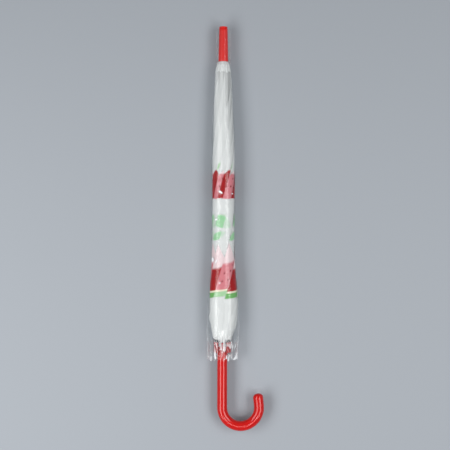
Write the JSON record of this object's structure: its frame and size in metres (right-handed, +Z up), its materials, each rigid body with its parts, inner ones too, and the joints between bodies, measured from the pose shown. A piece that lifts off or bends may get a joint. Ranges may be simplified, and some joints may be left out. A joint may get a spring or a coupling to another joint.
{
  "type": "clear bubble umbrella",
  "caption": "Closed stick umbrella with a J handle, a rolled milky clear film canopy on hinged ribs, stretchers and a sliding runner, in a clear film sleeve that pulls off.",
  "frame": {"origin": "under the middle of the whole umbrella, on the surface that it lies on", "axes": "+Y along the shaft toward the ferrule, +X the way the hook opens from the shaft, +Z up"},
  "size_m": [0.1134, 0.8, 0.0457],
  "materials": {
    "handle_plastic": "red moulded, glossy",
    "ferrule_plastic": "red moulded, satin",
    "tip_plastic": "red moulded",
    "white_plastic": "white moulded",
    "shaft_coating": "white coated steel tube",
    "black_steel": "black coated steel",
    "plated_steel": "plated",
    "canopy_film": "milky clear film with a fruit print",
    "sleeve_film": "thin clear film"
  },
  "bodies": {
    "stick": {"shaft": "shaft_coating", "ferrule": "ferrule_plastic", "handle": "handle_plastic", "crown": "white_plastic", "crown_wire": "plated_steel", "crown_cap": "white_plastic", "runner_stop": "plated_steel"},
    "runner": {"runner": "white_plastic"},
    "top_catch": {"top_catch": "plated_steel"},
    "bottom_catch": {"bottom_catch": "plated_steel"},
    "sleeve": {"clear_sleeve": "sleeve_film"},
    "rib_1": {"rib_1": "black_steel", "rib_tip_1": "tip_plastic", "rib_joint_1": "plated_steel"},
    "stretcher_1": {"stretcher_1": "black_steel"},
    "gore_1": {"gore_1": "canopy_film"},
    "rib_2": {"rib_2": "black_steel", "rib_tip_2": "tip_plastic", "rib_joint_2": "plated_steel"},
    "stretcher_2": {"stretcher_2": "black_steel"},
    "gore_2": {"gore_2": "canopy_film"},
    "rib_3": {"rib_3": "black_steel", "rib_tip_3": "tip_plastic", "rib_joint_3": "plated_steel"},
    "stretcher_3": {"stretcher_3": "black_steel"},
    "gore_3": {"gore_3": "canopy_film"},
    "rib_4": {"rib_4": "black_steel", "rib_tip_4": "tip_plastic", "rib_joint_4": "plated_steel"},
    "stretcher_4": {"stretcher_4": "black_steel"},
    "gore_4": {"gore_4": "canopy_film"},
    "rib_5": {"rib_5": "black_steel", "rib_tip_5": "tip_plastic", "rib_joint_5": "plated_steel"},
    "stretcher_5": {"stretcher_5": "black_steel"},
    "gore_5": {"gore_5": "canopy_film"},
    "rib_6": {"rib_6": "black_steel", "rib_tip_6": "tip_plastic", "rib_joint_6": "plated_steel"},
    "stretcher_6": {"stretcher_6": "black_steel"},
    "gore_6": {"gore_6": "canopy_film"},
    "rib_7": {"rib_7": "black_steel", "rib_tip_7": "tip_plastic", "rib_joint_7": "plated_steel"},
    "stretcher_7": {"stretcher_7": "black_steel"},
    "gore_7": {"gore_7": "canopy_film"},
    "rib_8": {"rib_8": "black_steel", "rib_tip_8": "tip_plastic", "rib_joint_8": "plated_steel"},
    "stretcher_8": {"stretcher_8": "black_steel"},
    "gore_8": {"gore_8": "canopy_film"}
  },
  "joints": [
    {"name": "runner_slide", "type": "slide", "parent": "stick", "child": "runner", "axis": [0, 1, 0], "range_m": [0, 0.22928], "deforming": ["gore_1", "gore_2", "gore_3", "gore_4", "gore_5", "gore_6", "gore_7", "gore_8", "clear_sleeve"]},
    {"name": "rib_1_turn", "type": "hinge", "parent": "stick", "child": "rib_1", "pos_m": [-0.01708, 0.31997, 0.02284], "axis": [0, 0, 1], "range_deg": [0, 59.49]},
    {"name": "rib_2_turn", "type": "hinge", "parent": "stick", "child": "rib_2", "pos_m": [-0.01983, 0.31997, 0.0162], "axis": [0.7071, 0, 0.7071], "range_deg": [0, 59.49]},
    {"name": "rib_3_turn", "type": "hinge", "parent": "stick", "child": "rib_3", "pos_m": [-0.02648, 0.31997, 0.01344], "axis": [1, 0, 0], "range_deg": [0, 59.49]},
    {"name": "rib_4_turn", "type": "hinge", "parent": "stick", "child": "rib_4", "pos_m": [-0.03312, 0.31997, 0.0162], "axis": [0.7071, 0, -0.7071], "range_deg": [0, 59.49]},
    {"name": "rib_5_turn", "type": "hinge", "parent": "stick", "child": "rib_5", "pos_m": [-0.03588, 0.31997, 0.02284], "axis": [0, 0, -1], "range_deg": [0, 59.49]},
    {"name": "rib_6_turn", "type": "hinge", "parent": "stick", "child": "rib_6", "pos_m": [-0.03312, 0.31997, 0.02949], "axis": [-0.7071, 0, -0.7071], "range_deg": [0, 59.49]},
    {"name": "rib_7_turn", "type": "hinge", "parent": "stick", "child": "rib_7", "pos_m": [-0.02648, 0.31997, 0.03224], "axis": [-1, 0, 0], "range_deg": [0, 59.49]},
    {"name": "rib_8_turn", "type": "hinge", "parent": "stick", "child": "rib_8", "pos_m": [-0.01983, 0.31997, 0.02949], "axis": [-0.7071, 0, 0.7071], "range_deg": [0, 59.49]},
    {"name": "stretcher_1_turn", "type": "hinge", "parent": "rib_1", "child": "stretcher_1", "pos_m": [-0.01498, 0.08998, 0.02284], "axis": [0, 0, -1], "range_deg": [0, 118.86]},
    {"name": "stretcher_2_turn", "type": "hinge", "parent": "rib_2", "child": "stretcher_2", "pos_m": [-0.01835, 0.08998, 0.01471], "axis": [-0.7071, 0, -0.7071], "range_deg": [0, 118.86]},
    {"name": "stretcher_3_turn", "type": "hinge", "parent": "rib_3", "child": "stretcher_3", "pos_m": [-0.02648, 0.08998, 0.01135], "axis": [-1, 0, 0], "range_deg": [0, 118.86]},
    {"name": "stretcher_4_turn", "type": "hinge", "parent": "rib_4", "child": "stretcher_4", "pos_m": [-0.0346, 0.08998, 0.01471], "axis": [-0.7071, 0, 0.7071], "range_deg": [0, 118.86]},
    {"name": "stretcher_5_turn", "type": "hinge", "parent": "rib_5", "child": "stretcher_5", "pos_m": [-0.03797, 0.08998, 0.02284], "axis": [0, 0, 1], "range_deg": [0, 118.86]},
    {"name": "stretcher_6_turn", "type": "hinge", "parent": "rib_6", "child": "stretcher_6", "pos_m": [-0.0346, 0.08998, 0.03097], "axis": [0.7071, 0, 0.7071], "range_deg": [0, 118.86]},
    {"name": "stretcher_7_turn", "type": "hinge", "parent": "rib_7", "child": "stretcher_7", "pos_m": [-0.02648, 0.08998, 0.03434], "axis": [1, 0, 0], "range_deg": [0, 118.86]},
    {"name": "stretcher_8_turn", "type": "hinge", "parent": "rib_8", "child": "stretcher_8", "pos_m": [-0.01835, 0.08998, 0.03097], "axis": [0.7071, 0, -0.7071], "range_deg": [0, 118.86]},
    {"name": "gore_1_unfold", "type": "hinge", "parent": "rib_1", "child": "gore_1", "pos_m": [-0.02443, 0.32417, 0.022], "axis": [0.8171, -0.4668, -0.3384], "range_deg": [0, 43.78]},
    {"name": "gore_2_unfold", "type": "hinge", "parent": "rib_2", "child": "gore_2", "pos_m": [-0.02563, 0.32417, 0.0208], "axis": [0.3384, -0.4668, -0.8171], "range_deg": [0, 43.78]},
    {"name": "gore_3_unfold", "type": "hinge", "parent": "rib_3", "child": "gore_3", "pos_m": [-0.02732, 0.32417, 0.0208], "axis": [-0.3384, -0.4668, -0.8171], "range_deg": [0, 43.78]},
    {"name": "gore_4_unfold", "type": "hinge", "parent": "rib_4", "child": "gore_4", "pos_m": [-0.02852, 0.32417, 0.022], "axis": [-0.8171, -0.4668, -0.3384], "range_deg": [0, 43.78]},
    {"name": "gore_5_unfold", "type": "hinge", "parent": "rib_5", "child": "gore_5", "pos_m": [-0.02852, 0.32417, 0.02369], "axis": [-0.8171, -0.4668, 0.3384], "range_deg": [0, 43.78]},
    {"name": "gore_6_unfold", "type": "hinge", "parent": "rib_6", "child": "gore_6", "pos_m": [-0.02732, 0.32417, 0.02489], "axis": [-0.3384, -0.4668, 0.8171], "range_deg": [0, 43.78]},
    {"name": "gore_7_unfold", "type": "hinge", "parent": "rib_7", "child": "gore_7", "pos_m": [-0.02563, 0.32417, 0.02489], "axis": [0.3384, -0.4668, 0.8171], "range_deg": [0, 43.78]},
    {"name": "gore_8_unfold", "type": "hinge", "parent": "rib_8", "child": "gore_8", "pos_m": [-0.02443, 0.32417, 0.02369], "axis": [0.8171, -0.4668, 0.3384], "range_deg": [0, 43.78]},
    {"name": "top_catch_press", "type": "hinge", "parent": "stick", "child": "top_catch", "pos_m": [-0.02333, 0.01555, 0.02154], "axis": [0.3827, 0, 0.9239], "range_deg": [0, 4.17], "stiffness_Nm_per_rad": 0.05, "springref_deg": -5.73},
    {"name": "bottom_catch_press", "type": "hinge", "parent": "stick", "child": "bottom_catch", "pos_m": [-0.02333, -0.13823, 0.02154], "axis": [-0.3827, 0, -0.9239], "range_deg": [0, 4.17], "stiffness_Nm_per_rad": 0.05, "springref_deg": -5.73},
    {"name": "sleeve_pull", "type": "slide", "parent": "stick", "child": "sleeve", "axis": [0, 1, 0], "range_m": [0, 0.675]}
  ],
  "couplings": [
    {"joint": "rib_1_turn", "follows": "runner_slide", "rad_per_m": 4.5276},
    {"joint": "rib_2_turn", "follows": "runner_slide", "rad_per_m": 4.5276},
    {"joint": "rib_3_turn", "follows": "runner_slide", "rad_per_m": 4.5276},
    {"joint": "rib_4_turn", "follows": "runner_slide", "rad_per_m": 4.5276},
    {"joint": "rib_5_turn", "follows": "runner_slide", "rad_per_m": 4.5276},
    {"joint": "rib_6_turn", "follows": "runner_slide", "rad_per_m": 4.5276},
    {"joint": "rib_7_turn", "follows": "runner_slide", "rad_per_m": 4.5276},
    {"joint": "rib_8_turn", "follows": "runner_slide", "rad_per_m": 4.5276},
    {"joint": "stretcher_1_turn", "follows": "runner_slide", "rad_per_m": 9.0472},
    {"joint": "stretcher_2_turn", "follows": "runner_slide", "rad_per_m": 9.0472},
    {"joint": "stretcher_3_turn", "follows": "runner_slide", "rad_per_m": 9.0472},
    {"joint": "stretcher_4_turn", "follows": "runner_slide", "rad_per_m": 9.0472},
    {"joint": "stretcher_5_turn", "follows": "runner_slide", "rad_per_m": 9.0472},
    {"joint": "stretcher_6_turn", "follows": "runner_slide", "rad_per_m": 9.0472},
    {"joint": "stretcher_7_turn", "follows": "runner_slide", "rad_per_m": 9.0472},
    {"joint": "stretcher_8_turn", "follows": "runner_slide", "rad_per_m": 9.0472},
    {"joint": "gore_1_unfold", "follows": "runner_slide", "rad_per_m": 3.332},
    {"joint": "gore_2_unfold", "follows": "runner_slide", "rad_per_m": 3.332},
    {"joint": "gore_3_unfold", "follows": "runner_slide", "rad_per_m": 3.332},
    {"joint": "gore_4_unfold", "follows": "runner_slide", "rad_per_m": 3.332},
    {"joint": "gore_5_unfold", "follows": "runner_slide", "rad_per_m": 3.332},
    {"joint": "gore_6_unfold", "follows": "runner_slide", "rad_per_m": 3.332},
    {"joint": "gore_7_unfold", "follows": "runner_slide", "rad_per_m": 3.332},
    {"joint": "gore_8_unfold", "follows": "runner_slide", "rad_per_m": 3.332}
  ]
}
